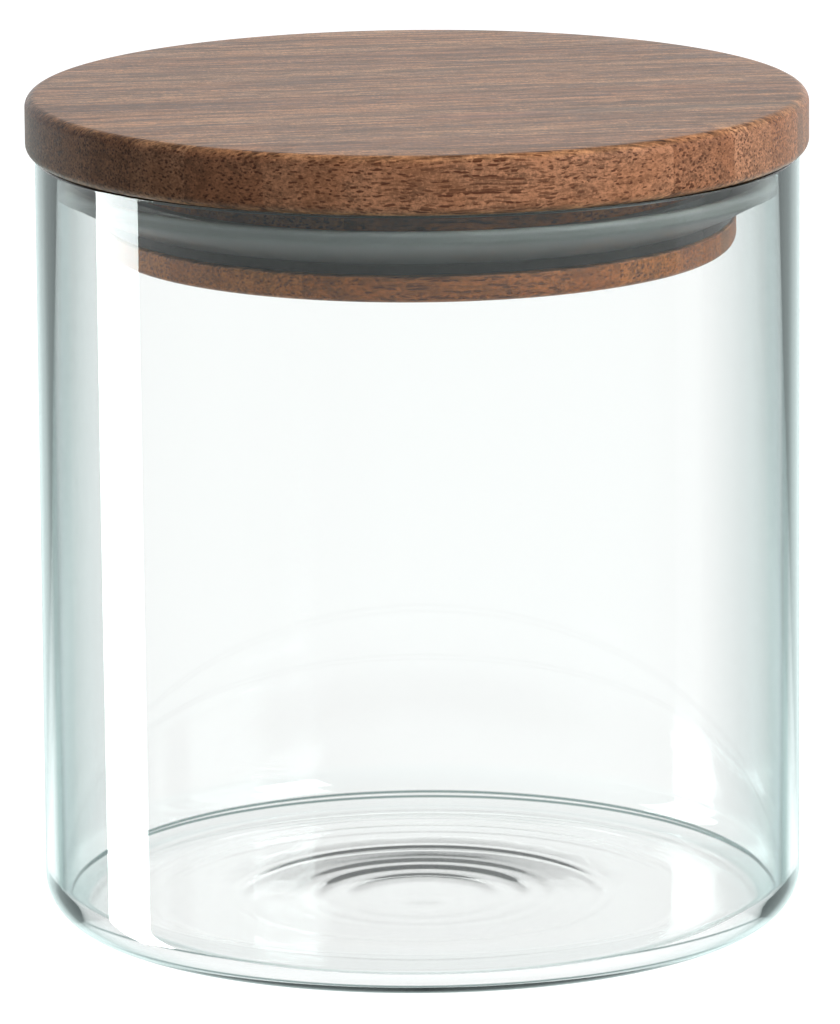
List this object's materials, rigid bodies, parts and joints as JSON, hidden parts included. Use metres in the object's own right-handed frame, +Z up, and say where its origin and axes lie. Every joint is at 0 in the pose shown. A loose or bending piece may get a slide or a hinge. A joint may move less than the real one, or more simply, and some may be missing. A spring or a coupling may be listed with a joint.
{
  "type": "food canister",
  "caption": "Round clear glass food jar with a push-in bamboo lid, laid up from staves and held by a soft silicone lip seal.",
  "frame": {"origin": "centre of the jar's underside, on the surface it stands on", "axes": "+Z up along the axis of the jar, -Y towards the front, the lid's grain 8.5 degrees from +X"},
  "size_m": [0.1024, 0.1024, 0.11],
  "materials": {
    "clear_glass": "clear, polished",
    "silicone": "satin, half clear",
    "bamboo_pale": "fine sanded, oiled",
    "bamboo_honey": "fine sanded, oiled",
    "bamboo_brown": "fine sanded, oiled"
  },
  "bodies": {
    "jar": {"glass_jar": "clear_glass"},
    "seal": {"seal_ring": "silicone"},
    "lid": {"lid_stave_01": "bamboo_honey", "lid_stave_02": "bamboo_brown", "lid_stave_03": "bamboo_pale", "lid_stave_04": "bamboo_honey", "lid_stave_05": "bamboo_pale", "lid_stave_06": "bamboo_honey", "lid_stave_07": "bamboo_brown", "lid_stave_08": "bamboo_pale", "lid_stave_09": "bamboo_honey", "lid_stave_10": "bamboo_pale", "lid_stave_11": "bamboo_honey", "lid_stave_12": "bamboo_brown", "lid_stave_13": "bamboo_pale", "lid_stave_14": "bamboo_honey", "lid_stave_15": "bamboo_pale"}
  },
  "joints": [
    {"name": "lid_lift", "type": "slide", "parent": "jar", "child": "seal", "axis": [0, 0, 1], "range_m": [0, 0.1]},
    {"name": "lid_turn", "type": "hinge", "parent": "seal", "child": "lid", "pos_m": [0, 0, 0.102], "axis": [0, 0, 1], "continuous": true}
  ]
}
